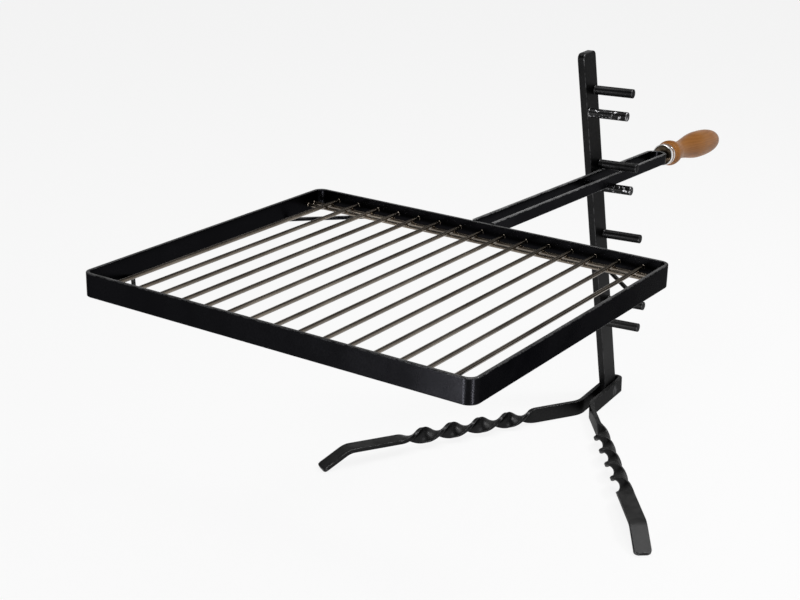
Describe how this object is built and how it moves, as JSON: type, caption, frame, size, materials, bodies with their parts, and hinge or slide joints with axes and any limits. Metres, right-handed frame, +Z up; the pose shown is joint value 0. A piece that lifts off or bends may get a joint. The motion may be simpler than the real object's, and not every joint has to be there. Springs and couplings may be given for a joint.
{
  "type": "folding campfire grill",
  "caption": "Campfire grill: leaning upright on a twisted two-leg foot bar, with paired pins that hold a rod tray by its hairpin handle with a turned wooden grip.",
  "frame": {"origin": "on the ground under the fold pivot, at the foot of the upright", "axes": "+Z up, -X from the upright towards the tray, -Y along the pins"},
  "size_m": [0.9227, 0.4178, 0.439],
  "materials": {
    "stand_black": "satin black powder coat with a fine grain",
    "tray_black": "satin black powder coat",
    "stainless": "drawn stainless rod",
    "ferrule_steel": "bright steel",
    "varnished_wood": "varnished turned wood"
  },
  "bodies": {
    "stand": {"upright": "stand_black", "pivot_rivet": "stand_black", "support_pin_1": "stand_black", "support_pin_2": "stand_black", "support_pin_3": "stand_black", "support_pin_4": "stand_black", "hold_down_pin_1": "stand_black", "hold_down_pin_2": "stand_black", "hold_down_pin_3": "stand_black", "hold_down_pin_4": "stand_black"},
    "foot": {"leg_bar": "stand_black"},
    "tray": {"grate_frame": "tray_black", "grill_rod_01": "stainless", "grill_rod_02": "stainless", "grill_rod_03": "stainless", "grill_rod_04": "stainless", "grill_rod_05": "stainless", "grill_rod_06": "stainless", "grill_rod_07": "stainless", "grill_rod_08": "stainless", "grill_rod_09": "stainless", "grill_rod_10": "stainless", "grill_rod_11": "stainless", "grill_rod_12": "stainless", "grill_rod_13": "stainless", "grill_rod_14": "stainless", "grill_rod_15": "stainless", "cross_wire_1": "stainless", "cross_wire_2": "stainless", "cross_wire_3": "stainless", "cross_wire_4": "stainless", "corner_brace_1": "tray_black", "corner_brace_2": "tray_black", "corner_brace_3": "tray_black", "corner_brace_4": "tray_black", "handle_bar": "tray_black", "tang": "tray_black", "end_disc": "tray_black", "ferrule": "ferrule_steel", "wood_grip": "varnished_wood"}
  },
  "joints": [
    {"name": "foot_fold", "type": "hinge", "parent": "stand", "child": "foot", "pos_m": [0, 0, 0.009], "axis": [0, 1, 0], "range_deg": [0, 60]},
    {"name": "tray_lift_off", "type": "slide", "parent": "stand", "child": "tray", "axis": [0, -1, 0], "range_m": [0, 0.06]}
  ]
}
